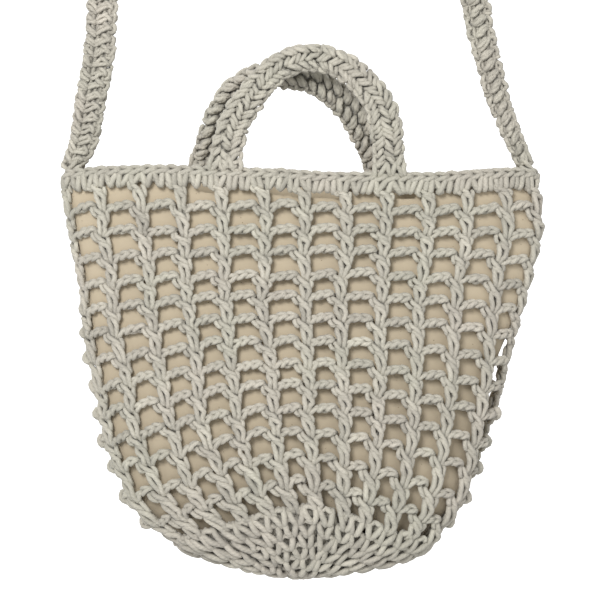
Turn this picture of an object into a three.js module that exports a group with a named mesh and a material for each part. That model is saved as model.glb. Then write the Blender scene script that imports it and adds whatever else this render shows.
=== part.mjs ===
// A crocheted cord tote: an open net body with a closed base, a tight rim band, two top handles, a long shoulder
// strap and a calico liner pouch. It hangs from the inside top of its strap.
// Millimetres, +Z up, the front faces -Y and +X is to the viewer's right.
import * as THREE from 'three';

// Clearance between neighbouring pieces
const GAP = 0.3;

// Mouth and rim band
const MOUTH_WIDTH = 340;
const MOUTH_DEPTH = 50;
const RIM_HEIGHT = 14;
const RIM_THICKNESS = 7;

// Net body below the rim
const BODY_HEIGHT = 275;
const BODY_DEPTH = 76;
const NET_THICKNESS = 6.5;
const RIB_COUNT = 24;
const RIB_WIDTH = 9;
const RING_HEIGHT = 6;
const OPENING_ROWS = 5;

// Calico liner
const LINER_THICKNESS = 1.4;
const LINER_SLACK = 1.2;
const LINER_HEM = 5;

// Top handles: their span is between the middles of the feet, their rise from the rim to the middle of the top
const FRONT_SPAN = 115.5;
const FRONT_RISE = 79.5;
const FRONT_MIDDLE = 3.9;
const BACK_SPAN = 124.5;
const BACK_RISE = 68;
const BACK_MIDDLE = -6.3;
const HANDLE_WIDTH = 22.5;
const HANDLE_TOP_WIDTH = 19.5;
const HANDLE_THICKNESS = 10;
const HANDLE_LEAN = 12;

// Shoulder strap
const STRAP_DROP = 500;
const STRAP_WIDTH = 21.5;
const STRAP_FOOT_WIDTH = 12;
const STRAP_THICKNESS = 7.5;
const STRAP_INSET = 1;
const LOOP_RADIUS = 85;
const LOOP_SHIFT = -12;

// Rounds of the net, from the rim down to the middle of the base. down and hang are shares of BODY_HEIGHT: the
// round's depth at the middle rib, and how much lower it is at the sides. width is a share of MOUTH_WIDTH, swell how
// far the depth has grown from the mouth's to the body's, close how far the section is drawn in, sway the shift of
// the round's middle as a share of MOUTH_WIDTH, turn how far the ribs have crept round, in ribs, and bow the power
// by which the hang grows from the middle to the sides.
const ROUNDS = [
  { down: 0.000, hang: 0.000, width: 1.000, swell: 0.00, close: 1.00, sway: 0.004, turn: 0.00, bow: 2.0 },
  { down: 0.058, hang: 0.010, width: 0.986, swell: 0.06, close: 1.00, sway: 0.007, turn: 0.00, bow: 2.0 },
  { down: 0.112, hang: 0.021, width: 0.970, swell: 0.16, close: 1.00, sway: 0.007, turn: 0.00, bow: 2.0 },
  { down: 0.168, hang: 0.026, width: 0.947, swell: 0.28, close: 1.00, sway: 0.006, turn: 0.00, bow: 2.0 },
  { down: 0.227, hang: 0.033, width: 0.925, swell: 0.40, close: 1.00, sway: 0.004, turn: 0.00, bow: 2.0 },
  { down: 0.282, hang: 0.044, width: 0.905, swell: 0.52, close: 1.00, sway: -0.001, turn: 0.05, bow: 2.0 },
  { down: 0.338, hang: 0.050, width: 0.888, swell: 0.64, close: 1.00, sway: -0.005, turn: 0.12, bow: 2.0 },
  { down: 0.397, hang: 0.061, width: 0.868, swell: 0.75, close: 1.00, sway: -0.008, turn: 0.20, bow: 1.9 },
  { down: 0.453, hang: 0.076, width: 0.845, swell: 0.85, close: 1.00, sway: -0.009, turn: 0.27, bow: 1.8 },
  { down: 0.508, hang: 0.094, width: 0.818, swell: 0.93, close: 1.00, sway: -0.012, turn: 0.33, bow: 1.8 },
  { down: 0.567, hang: 0.104, width: 0.792, swell: 0.98, close: 1.00, sway: -0.015, turn: 0.40, bow: 1.6 },
  { down: 0.625, hang: 0.117, width: 0.747, swell: 1.00, close: 1.00, sway: -0.013, turn: 0.46, bow: 1.5 },
  { down: 0.686, hang: 0.134, width: 0.691, swell: 1.00, close: 0.97, sway: -0.014, turn: 0.54, bow: 1.4 },
  { down: 0.758, hang: 0.120, width: 0.607, swell: 1.00, close: 0.90, sway: -0.008, turn: 0.60, bow: 1.3 },
  { down: 0.824, hang: 0.105, width: 0.510, swell: 1.00, close: 0.78, sway: 0.006, turn: 0.62, bow: 1.3 },
  { down: 0.884, hang: 0.078, width: 0.378, swell: 1.00, close: 0.61, sway: 0.016, turn: 0.64, bow: 1.3 },
  { down: 0.939, hang: 0.043, width: 0.248, swell: 1.00, close: 0.44, sway: 0.010, turn: 0.66, bow: 1.3 },
  { down: 0.985, hang: 0.008, width: 0.136, swell: 1.00, close: 0.28, sway: 0.000, turn: 0.66, bow: 1.3 },
  { down: 1.000, hang: 0.000, width: 0.000, swell: 1.00, close: 0.00, sway: 0.000, turn: 0.66, bow: 1.3 },
];
const NET_ROUNDS = 13;
const BASE_LEVELS = 5;

// The rim's gentle wave: how far its edge is lifted, as a share of RIM_HEIGHT, across the mouth's half width
const RIM_WAVE = [
  { across: -1.00, lift: 0.00 },
  { across: -0.80, lift: 0.18 },
  { across: -0.62, lift: 0.24 },
  { across: -0.16, lift: 0.05 },
  { across: 0.16, lift: -0.15 },
  { across: 0.52, lift: -0.15 },
  { across: 0.90, lift: 0.08 },
  { across: 1.00, lift: 0.00 },
];

// Each handle's arch: across is a share of its span, up a share of its rise
const FRONT_ARCH = [
  { across: -0.500, up: 0.000 },
  { across: -0.479, up: 0.263 },
  { across: -0.433, up: 0.439 },
  { across: -0.357, up: 0.614 },
  { across: -0.264, up: 0.798 },
  { across: -0.130, up: 0.947 },
  { across: 0.027, up: 1.000 },
  { across: 0.195, up: 0.942 },
  { across: 0.330, up: 0.798 },
  { across: 0.433, up: 0.614 },
  { across: 0.476, up: 0.439 },
  { across: 0.490, up: 0.263 },
  { across: 0.500, up: 0.000 },
];
const BACK_ARCH = [
  { across: -0.512, up: 0.000 },
  { across: -0.476, up: 0.258 },
  { across: -0.444, up: 0.464 },
  { across: -0.396, up: 0.660 },
  { across: -0.325, up: 0.845 },
  { across: -0.215, up: 0.962 },
  { across: -0.070, up: 1.000 },
  { across: 0.088, up: 0.972 },
  { across: 0.222, up: 0.838 },
  { across: 0.333, up: 0.650 },
  { across: 0.409, up: 0.433 },
  { across: 0.466, up: 0.247 },
  { across: 0.520, up: 0.000 },
];

// The strap's two legs: rise is a share of STRAP_DROP, left and right are shares of the foot's distance from the
// middle, and each girth says how far that leg has opened from its bunched foot to its full width
const STRAP_LEGS = [
  { rise: 0.000, left: 1.000, right: 1.000, leftGirth: 0.20, rightGirth: 0.00 },
  { rise: 0.014, left: 0.976, right: 0.977, leftGirth: 0.50, rightGirth: 0.02 },
  { rise: 0.042, left: 0.938, right: 0.927, leftGirth: 0.85, rightGirth: 0.15 },
  { rise: 0.098, left: 0.908, right: 0.846, leftGirth: 1.00, rightGirth: 0.43 },
  { rise: 0.168, left: 0.869, right: 0.788, leftGirth: 1.00, rightGirth: 0.66 },
  { rise: 0.238, left: 0.853, right: 0.743, leftGirth: 1.00, rightGirth: 0.80 },
  { rise: 0.450, left: 0.785, right: 0.628, leftGirth: 1.00, rightGirth: 1.00 },
  { rise: 0.660, left: 0.700, right: 0.525, leftGirth: 1.00, rightGirth: 1.00 },
];
// The strap lies flat to the front on its legs and turns a quarter to lie flat over the top of its loop, between
// these shares of STRAP_DROP
const TWIST_START = 0.30;
const TWIST_END = 0.72;

// The liner's rings: round says which round of the net it lies within, narrow how far its right side is drawn in,
// as a share of the width there, and close how far the ring is drawn in towards the pouch's bottom
const LINER_RINGS = [
  { round: 1.0, narrow: 0.000, close: 1.00 },
  { round: 3.0, narrow: 0.005, close: 1.00 },
  { round: 5.0, narrow: 0.015, close: 1.00 },
  { round: 7.0, narrow: 0.030, close: 1.00 },
  { round: 9.0, narrow: 0.040, close: 1.00 },
  { round: 10.5, narrow: 0.050, close: 1.00 },
  { round: 11.7, narrow: 0.060, close: 0.98 },
  { round: 12.7, narrow: 0.060, close: 0.95 },
  { round: 13.6, narrow: 0.060, close: 0.88 },
  { round: 14.3, narrow: 0.050, close: 0.70 },
  { round: 14.8, narrow: 0.040, close: 0.36 },
  { round: 15.0, narrow: 0.030, close: 0.00 },
];

const mix = (a, b, t) => a + (b - a) * t;

// The value of one column of a table at a place between its rows, on a smooth curve through them
function column(rows, name, at) {
  const place = Math.min(Math.max(at, 0), rows.length - 1);
  const low = Math.min(Math.floor(place), rows.length - 2);
  const value = (i) => rows[Math.min(Math.max(i, 0), rows.length - 1)][name];
  const t = place - low;
  const [a, b, c, d] = [value(low - 1), value(low), value(low + 1), value(low + 2)];
  const bend = t * (2 * a - 5 * b + 4 * c - d) + t * t * (3 * b - 3 * c + d - a);
  return b + 0.5 * t * (c - a + bend);
}

// The rim edge's lift in millimetres at x, straight between the rows of the wave
function rimLift(x) {
  const across = Math.min(Math.max(x / (MOUTH_WIDTH / 2), -1), 1);
  const next = Math.max(RIM_WAVE.findIndex((row) => row.across >= across), 1);
  const [low, high] = [RIM_WAVE[next - 1], RIM_WAVE[next]];
  const t = (across - low.across) / (high.across - low.across);
  return RIM_HEIGHT * mix(low.lift, high.lift, t * t * (3 - 2 * t));
}

// The angle on an ellipse of half axes 1 and ratio at which a share of its length has been passed, from its left
// end round the front
const ARC_STEPS = 240;
function arcAngle(share, ratio) {
  const lengths = [0];
  for (let i = 0; i < ARC_STEPS; i += 1) {
    const middle = (2 * Math.PI * (i + 0.5)) / ARC_STEPS;
    lengths.push(lengths[i] + Math.hypot(Math.sin(middle), ratio * Math.cos(middle)));
  }
  const turns = Math.floor(share);
  const wanted = (share - turns) * lengths[ARC_STEPS];
  const next = Math.max(lengths.findIndex((length) => length >= wanted), 1);
  const t = (wanted - lengths[next - 1]) / (lengths[next] - lengths[next - 1]);
  return 2 * Math.PI * (turns + (next - 1 + t) / ARC_STEPS);
}

// Half the width and half the depth of the net's middle surface at a round
const halfWidthAt = (round) => (MOUTH_WIDTH / 2) * column(ROUNDS, 'width', round);
const halfDepthAt = (round) => (
  mix(MOUTH_DEPTH, BODY_DEPTH, column(ROUNDS, 'swell', round)) / 2) * column(ROUNDS, 'close', round);
const downAt = (round, atSide) => (
  BODY_HEIGHT * (column(ROUNDS, 'down', round) + (atSide ? column(ROUNDS, 'hang', round) : 0)));

// A point of the net's middle surface: round counts down from the rim and rib counts round from the left end by the
// front. The options draw the section in: narrow from the right and close on all sides, as shares, and inset by two
// lengths.
function netPoint(round, rib, { narrow = 0, close = 1, inset = [0, 0] } = {}) {
  const get = (name) => column(ROUNDS, name, round);
  const halfWidth = Math.max((halfWidthAt(round) * (1 - narrow) - inset[0]) * close, 0.01);
  const halfDepth = Math.max((halfDepthAt(round) - inset[1]) * close, 0.01);
  const angle = arcAngle((rib + get('turn')) / RIB_COUNT, halfDepth / halfWidth);
  const x = MOUTH_WIDTH * get('sway') - halfWidthAt(round) * narrow - halfWidth * Math.cos(angle);
  const side = Math.abs(Math.cos(angle)) * close;
  const hang = get('hang') * Math.hypot(side, 0.1) ** get('bow');
  const lift = rimLift(x) * Math.max(1 - round / 3, 0);
  return new THREE.Vector3(
    x,
    -halfDepth * Math.sin(angle),
    -RIM_HEIGHT - GAP - BODY_HEIGHT * (get('down') + hang) + lift,
  );
}

// The outward direction of the net's middle surface there
function netNormal(round, rib, options) {
  const step = 0.05;
  const around = netPoint(round, rib + step, options).sub(netPoint(round, rib - step, options));
  const down = netPoint(round + step, rib, options).sub(netPoint(Math.max(round - step, 0), rib, options));
  return around.cross(down).negate().normalize();
}

// How far a section is drawn in, in width and in depth, to lie a length square to the wall inside the net. The
// width's share grows by the extra room that the narrow ends of an ellipse need.
function insetWithin(round, length) {
  const step = 0.25;
  const slope = (half, atSide) => {
    const fall = downAt(round + step, atSide) - downAt(round - step, atSide);
    return Math.hypot(half(round + step) - half(round - step), fall) / fall;
  };
  const tip = (halfWidthAt(round) * length ** 2) / (2 * halfDepthAt(round) ** 2);
  return [length * slope(halfWidthAt, true) + tip, length * slope(halfDepthAt, false)];
}

// The distance between neighbouring ribs along a round
function ribPitch(round) {
  const [a, b] = [halfWidthAt(round), halfDepthAt(round)];
  return (Math.PI * (3 * (a + b) - Math.sqrt((3 * a + b) * (a + 3 * b)))) / RIB_COUNT;
}

// A closed mesh from its corners and its faces
function meshGeometry(corners, faces) {
  const geometry = new THREE.BufferGeometry();
  geometry.setAttribute('position', new THREE.Float32BufferAttribute(corners.flatMap((c) => [c.x, c.y, c.z]), 3));
  geometry.setIndex(faces.flat());
  geometry.computeVertexNormals();
  return geometry;
}
const quad = (a, b, c, d) => [[a, b, c], [a, c, d]];

// A wall with an outer and an inner skin on a grid that closes round and ends below in a pole. isOpen says which
// cells are cut through; the top edge is closed by a flat lip.
function poleShell(outer, inner, outerPole, innerPole, isOpen) {
  const rows = outer.length;
  const across = outer[0].length;
  const corners = [...outer.flat(), ...inner.flat(), outerPole, innerPole];
  const out = (r, c) => r * across + (c % across);
  const within = (r, c) => rows * across + out(r, c);
  const poleOut = 2 * rows * across;
  const faces = [];
  const open = (r, c) => r >= 0 && r < rows - 1 && isOpen(r, (c + across) % across);
  for (let r = 0; r < rows - 1; r += 1) {
    for (let c = 0; c < across; c += 1) {
      if (!open(r, c)) {
        faces.push(...quad(out(r, c), out(r + 1, c), out(r + 1, c + 1), out(r, c + 1)));
        faces.push(...quad(within(r, c), within(r, c + 1), within(r + 1, c + 1), within(r + 1, c)));
        if (open(r, c - 1)) faces.push(...quad(out(r, c), within(r, c), within(r + 1, c), out(r + 1, c)));
        if (open(r, c + 1)) {
          faces.push(...quad(out(r, c + 1), out(r + 1, c + 1), within(r + 1, c + 1), within(r, c + 1)));
        }
        if (open(r + 1, c)) {
          faces.push(...quad(out(r + 1, c), within(r + 1, c), within(r + 1, c + 1), out(r + 1, c + 1)));
        }
        if (r === 0 || open(r - 1, c)) {
          faces.push(...quad(out(r, c), out(r, c + 1), within(r, c + 1), within(r, c)));
        }
      }
    }
  }
  for (let c = 0; c < across; c += 1) {
    faces.push([out(rows - 1, c), poleOut, out(rows - 1, c + 1)]);
    faces.push([within(rows - 1, c), within(rows - 1, c + 1), poleOut + 1]);
  }
  return meshGeometry(corners, faces);
}

// A section carried along a route. Each stop has its point, the direction of its width and of its thickness, and
// both sizes; the route closes on itself or ends in flat faces.
const SECTION_SIDES = 8;
const SECTION_POWER = 0.6;
function sweep(stops, closed) {
  const corners = [];
  const faces = [];
  const bend = (v) => Math.sign(v) * Math.abs(v) ** SECTION_POWER;
  stops.forEach(({ point, widthWay, thickWay, width, thickness }) => {
    for (let i = 0; i < SECTION_SIDES; i += 1) {
      const angle = (2 * Math.PI * i) / SECTION_SIDES;
      corners.push(point.clone()
        .addScaledVector(widthWay, (width / 2) * bend(Math.cos(angle)))
        .addScaledVector(thickWay, (thickness / 2) * bend(Math.sin(angle))));
    }
  });
  const at = (s, i) => (s % stops.length) * SECTION_SIDES + (i % SECTION_SIDES);
  const spans = closed ? stops.length : stops.length - 1;
  for (let s = 0; s < spans; s += 1) {
    for (let i = 0; i < SECTION_SIDES; i += 1) {
      faces.push(...quad(at(s, i), at(s, i + 1), at(s + 1, i + 1), at(s + 1, i)));
    }
  }
  if (!closed) {
    const last = stops.length - 1;
    for (let i = 1; i < SECTION_SIDES - 1; i += 1) {
      faces.push([at(0, 0), at(0, i + 1), at(0, i)]);
      faces.push([at(last, 0), at(last, i), at(last, i + 1)]);
    }
  }
  return meshGeometry(corners, faces);
}

function piece(name, geometry, colour, roughness) {
  const mesh = new THREE.Mesh(
    geometry,
    new THREE.MeshStandardMaterial({ color: colour, roughness, metalness: 0 }),
  );
  mesh.name = name;
  return mesh;
}
const CORD_COLOUR = 0xd3cdbb;
const CALICO_COLOUR = 0xd8c7a6;

// The net: every rib has two grid lines, every ring of cord two rows, and the cells between them are open
function netBody() {
  const openRounds = NET_ROUNDS / OPENING_ROWS;
  const roundHeight = BODY_HEIGHT * ROUNDS[1].down;
  const ring = RING_HEIGHT / 2 / roundHeight;
  const levels = [];
  for (let row = 0; row < OPENING_ROWS; row += 1) {
    const top = row === 0 ? 2 * ring : row * openRounds + ring;
    const bottom = (row + 1) * openRounds - ring;
    levels.push({ round: row === 0 ? 0 : row * openRounds - ring, open: false });
    levels.push({ round: top, open: true });
    levels.push({ round: mix(top, bottom, 1 / 3), open: true });
    levels.push({ round: mix(top, bottom, 2 / 3), open: true });
  }
  levels.push({ round: NET_ROUNDS - ring, open: false });
  for (let level = 0; level < BASE_LEVELS; level += 1) {
    levels.push({ round: mix(NET_ROUNDS + 0.5, ROUNDS.length - 1.6, level / (BASE_LEVELS - 1)), open: false });
  }
  const skin = (side) => levels.map(({ round }) => {
    const half = Math.min(RIB_WIDTH / 2 / ribPitch(round), 0.36);
    const places = [];
    for (let rib = 0; rib < RIB_COUNT; rib += 1) places.push(rib - half, rib + half);
    return places.map((rib) => netPoint(round, rib)
      .addScaledVector(netNormal(round, rib), side * (NET_THICKNESS / 2)));
  });
  const pole = (side) => {
    const point = netPoint(ROUNDS.length - 1, 0);
    return point.setZ(point.z - side * (NET_THICKNESS / 2));
  };
  const isOpen = (row, place) => levels[row].open && place % 2 === 1;
  return piece('net_body', poleShell(skin(1), skin(-1), pole(1), pole(-1), isOpen), CORD_COLOUR, 0.85);
}

// The liner hangs inside the net, its hem up inside the rim
function linerPouch() {
  const across = 40;
  const offset = NET_THICKNESS / 2 + LINER_SLACK + LINER_THICKNESS / 2;
  const hemOffset = Math.max(RIM_THICKNESS / 2 + GAP + LINER_THICKNESS / 2, offset);
  const hemRings = [LINER_HEM, -GAP, -RIM_HEIGHT / 4];
  const ring = (rib) => Array.from({ length: across }, (_, i) => rib((RIB_COUNT * i) / across));
  const skin = (side) => [
    ...hemRings.map((rise) => ring((rib) => {
      const point = netPoint(0, rib, { inset: insetWithin(0.3, hemOffset - side * (LINER_THICKNESS / 2)) });
      return point.setZ(point.z + rise);
    })),
    ...LINER_RINGS.slice(0, -1).map(({ round, narrow, close }) => ring((rib) => netPoint(
      round, rib, { narrow, close, inset: insetWithin(round, offset - side * (LINER_THICKNESS / 2)) }))),
  ];
  const last = LINER_RINGS.at(-1);
  const pole = (side) => {
    const point = netPoint(last.round, 0, { close: 0, narrow: last.narrow });
    return point.setZ(point.z - side * (LINER_THICKNESS / 2));
  };
  return piece('liner_pouch', poleShell(skin(1), skin(-1), pole(1), pole(-1), () => false), CALICO_COLOUR, 0.95);
}

// The rim: an upright band on the same line as the top of the net
function rimPoint(rib) {
  const point = netPoint(0, rib);
  return point.setZ(-RIM_HEIGHT / 2 + rimLift(point.x));
}
function rimBand() {
  const steps = 72;
  const stops = [];
  for (let i = 0; i < steps; i += 1) {
    const rib = (RIB_COUNT * i) / steps;
    stops.push({
      point: rimPoint(rib),
      widthWay: new THREE.Vector3(0, 0, 1),
      thickWay: netNormal(0, rib).setZ(0).normalize(),
      width: RIM_HEIGHT,
      thickness: RIM_THICKNESS,
    });
  }
  return piece('rim_band', sweep(stops, true), CORD_COLOUR, 0.85);
}

// The height at which a foot of that width stands on the rim at x
function seat(x, width) {
  const lifts = [-0.5, -0.25, 0, 0.25, 0.5].map((share) => rimLift(x + share * width));
  return Math.max(...lifts) + GAP;
}

// A handle: an arch on two feet on one side of the rim, leaning in towards the other
function handle(name, { span, rise, middle, arch, side }) {
  const halfMouth = MOUTH_WIDTH / 2;
  const route = new THREE.CatmullRomCurve3(arch.map(({ across, up }) => {
    const x = middle + span * across;
    const foot = Math.sign(across) * span * 0.5 + middle;
    const rimY = (MOUTH_DEPTH / 2) * Math.sqrt(1 - (foot / halfMouth) ** 2);
    return new THREE.Vector3(x, side * (rimY - HANDLE_LEAN * up), seat(foot, HANDLE_WIDTH) * (1 - up) + rise * up);
  }), false, 'centripetal');
  const steps = 30;
  const stops = [];
  for (let i = 0; i <= steps; i += 1) {
    const share = i / steps;
    const end = i === 0 || i === steps;
    const tangent = end ? new THREE.Vector3(0, 0, i === 0 ? 1 : -1) : route.getTangentAt(share);
    const thickWay = new THREE.Vector3(0, 1, 0).addScaledVector(tangent, -tangent.y).normalize();
    const rounding = Math.sin(Math.PI * share) ** 2;
    stops.push({
      point: route.getPointAt(share),
      widthWay: thickWay.clone().cross(tangent).normalize(),
      thickWay,
      width: mix(HANDLE_WIDTH, HANDLE_TOP_WIDTH, rounding),
      thickness: HANDLE_THICKNESS,
    });
  }
  return piece(name, sweep(stops, false), CORD_COLOUR, 0.85);
}

// The strap's middle line: up the left leg, round the loop's arc and down the right leg
function strapRoute() {
  const footX = MOUTH_WIDTH / 2 + (RIM_THICKNESS - STRAP_FOOT_WIDTH) / 2 - STRAP_INSET;
  const top = STRAP_DROP + STRAP_THICKNESS / 2;
  const sit = seat(-footX, STRAP_FOOT_WIDTH);
  const leg = (way) => STRAP_LEGS.map((row) => ({
    point: new THREE.Vector3(
      (way === 'left' ? -1 : 1) * footX * row[way], 0, mix(sit, STRAP_DROP, row.rise)),
    girth: row[`${way}Girth`],
  }));
  const arc = [];
  for (let degrees = 160; degrees >= 20; degrees -= 20) {
    const angle = THREE.MathUtils.degToRad(degrees);
    arc.push({
      point: new THREE.Vector3(
        LOOP_SHIFT + LOOP_RADIUS * Math.cos(angle), 0, top - LOOP_RADIUS * (1 - Math.sin(angle))),
      girth: 1,
    });
  }
  return [...leg('left'), ...arc, ...leg('right').reverse()];
}
function shoulderStrap() {
  const marks = strapRoute();
  const route = new THREE.CatmullRomCurve3(marks.map((mark) => mark.point), false, 'centripetal');
  const stepsPerMark = 3;
  const steps = (marks.length - 1) * stepsPerMark;
  const stops = [];
  for (let i = 0; i <= steps; i += 1) {
    const place = i / stepsPerMark;
    const low = Math.min(Math.floor(place), marks.length - 2);
    const girth = mix(marks[low].girth, marks[low + 1].girth, place - low);
    const point = route.getPoint(i / steps);
    const end = i === 0 || i === steps;
    const tangent = end ? new THREE.Vector3(0, 0, i === 0 ? 1 : -1) : route.getTangent(i / steps);
    const flat = new THREE.Vector3(0, 1, 0);
    const inPlane = tangent.clone().cross(flat).normalize();
    const share = THREE.MathUtils.smoothstep(point.z / STRAP_DROP, TWIST_START, TWIST_END);
    const roll = (share * Math.PI) / 2;
    stops.push({
      point,
      widthWay: inPlane.clone().multiplyScalar(-Math.cos(roll)).addScaledVector(flat, Math.sin(roll)),
      thickWay: flat.clone().multiplyScalar(Math.cos(roll)).addScaledVector(inPlane, Math.sin(roll)),
      width: mix(STRAP_FOOT_WIDTH, STRAP_WIDTH, girth),
      thickness: STRAP_THICKNESS,
    });
  }
  return piece('shoulder_strap', sweep(stops, false), CORD_COLOUR, 0.85);
}

// The bag is worked out about the middle of its rim's top edge, and hangs with the loop's inside top at the origin
const tote = new THREE.Group();
tote.add(
  netBody(),
  rimBand(),
  handle('front_handle', { span: FRONT_SPAN, rise: FRONT_RISE, middle: FRONT_MIDDLE, arch: FRONT_ARCH, side: -1 }),
  handle('back_handle', { span: BACK_SPAN, rise: BACK_RISE, middle: BACK_MIDDLE, arch: BACK_ARCH, side: 1 }),
  shoulderStrap(),
  linerPouch(),
);
tote.position.set(-LOOP_SHIFT, 0, -STRAP_DROP);

export default tote;
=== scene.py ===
"""A crocheted cord tote, hung from its shoulder strap: the looks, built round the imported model.

The bag is worked out in millimetres about the middle of the rim's top edge. It is set into the frame when a
mesh is made: in metres, with the inside top of the strap's loop at the origin. Every strand is a tube carried
along a path, and the paths come from short charts of one stitch each.
"""

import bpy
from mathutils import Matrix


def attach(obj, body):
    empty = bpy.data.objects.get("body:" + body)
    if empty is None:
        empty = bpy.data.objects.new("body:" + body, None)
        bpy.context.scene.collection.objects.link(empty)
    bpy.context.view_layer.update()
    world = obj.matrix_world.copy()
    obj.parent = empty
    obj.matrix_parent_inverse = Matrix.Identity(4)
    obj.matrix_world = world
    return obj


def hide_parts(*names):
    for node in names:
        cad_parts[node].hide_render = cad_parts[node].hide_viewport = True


bl_info = {
    "name": "Crocheted Cord Tote",
    "version": (1, 0, 0),
    "blender": (4, 5, 0),
    "location": "View3D > Sidebar > Tote",
    "description": "Builds a crocheted net tote with its rim, handles, shoulder strap and calico liner",
    "category": "Object",
}

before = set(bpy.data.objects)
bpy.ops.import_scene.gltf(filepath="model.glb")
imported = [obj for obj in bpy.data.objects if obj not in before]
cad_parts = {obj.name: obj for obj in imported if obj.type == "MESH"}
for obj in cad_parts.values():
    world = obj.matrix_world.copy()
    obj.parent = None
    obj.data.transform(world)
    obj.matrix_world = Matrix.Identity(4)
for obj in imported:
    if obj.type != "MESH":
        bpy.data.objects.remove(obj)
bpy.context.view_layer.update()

import math

import bpy
import numpy as np
from mathutils import Vector

UP, BACKWARD = np.array([0, 0, 1.0]), np.array([0, 1.0, 0])

# Sizes in millimetres, the same as the solids have
GAP = 0.3
MOUTH_WIDTH = 340.0
MOUTH_DEPTH = 50.0
RIM_HEIGHT = 14.0
RIM_THICKNESS = 7.0
BODY_HEIGHT = 275.0
BODY_DEPTH = 76.0
NET_THICKNESS = 6.5
RIB_COUNT = 24
NET_ROUNDS = 13
LINER_SLACK = 1.2
LINER_HEM = 5.0
FRONT_SPAN, FRONT_RISE, FRONT_MIDDLE = 115.5, 79.5, 3.9
BACK_SPAN, BACK_RISE, BACK_MIDDLE = 124.5, 68.0, -6.3
HANDLE_WIDTH = 22.5
HANDLE_TOP_WIDTH = 19.5
HANDLE_THICKNESS = 10.0
HANDLE_LEAN = 12.0
STRAP_DROP = 500.0
STRAP_WIDTH = 21.5
STRAP_FOOT_WIDTH = 12.0
STRAP_THICKNESS = 7.5
STRAP_INSET = 1.0
LOOP_RADIUS = 85.0
LOOP_SHIFT = -12.0
TWIST_START, TWIST_END = 0.30, 0.72

# Sizes of the work in millimetres: the rows of the bands, the rim's stitches, a round of the net, how far the
# net's two end ribs are turned to the front, how far the rim's right end is drawn in, and a band's stations
HANDLE_ROW = 8.6
STRAP_ROW = 8.0
RIM_STITCH = 8.5
ROUND_HEIGHT = 16.0
END_TURN = 2.6
RIGHT_DRAW = 5.0
BAND_STATION = 1.0

# Over how many rounds the rim's wave and the drawing in of its right end fade out
WAVE_ROUNDS, DRAW_ROUNDS = 3, 1.5

# Links of the chains on each round, and the strap's cord as a share of the net's
NET_LINKS = [3] * 11 + [2] * 3
STRAP_CORD = 0.94

# A gap's chain: how far from the posts it starts and ends, in cord diameters, the height of its foot and its
# start and its sag, as shares of a round, its bulge in cord diameters, and its face's lean in radians
CHAIN_START, CHAIN_END = 0.4, 1.35
CHAIN_FOOT, CHAIN_RISE, CHAIN_SAG = 0.04, 0.24, 0.035
CHAIN_BULGE = 0.45
CHAIN_LEAN = (0.10, 1.1)

# Girths of the strands, as shares of the cord's diameter
GIRTHS = {"chain": 1.2, "rim chain": 1.15, "rim bar": 1.52, "rim core": 1.5, "rim end": 1.15, "end loop": 1.7,
          "foot": 1.25, "wrap": 1.1, "band core": 1.45, "handle": 1.17, "strap": 1.2}

# How far the points of a strand wander, as shares of the cord's diameter, how far a band's strands slant, in
# rows, and how far the base's stitches wander, in stitches along a row and in rounds
WOBBLES = {"chain": 0.07, "stitch": 0.12, "end loop": 0.2, "foot": 0.12, "rim end": 0.12, "band": 0.16}
BAND_SLANT = 0.13
BASE_WANDER = (0.08, 0.05)

# The rim's two bars to a stitch, in stitches: where they stand, how they slant and how far the slant wanders.
# Then the power that squares their round.
BAR_PLACES, BAR_SLANTS, BAR_WANDER = (0.2, 0.68), (-0.04, 0.13), 0.16
BAR_POWER = 0.65

# How the crowding of the strands is read, in millimetres, and the crowding that counts as full. They set the
# painted shade between crowded strands.
CROWD_CUBE = 1.2
CROWD_REACH = 2.2
FULL_CROWD = 1.5

# The view that the bag's front is matched to: sizes in the picture are pixels, and the distance is in metres
MM_PER_PIXEL = 0.7
PICTURE_SIZE = 600
MIDDLE_PIXEL = 302
RIM_PIXEL = 170
VIEW_DISTANCE = 1.5
VIEW_ELEVATION = 3.0

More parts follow.
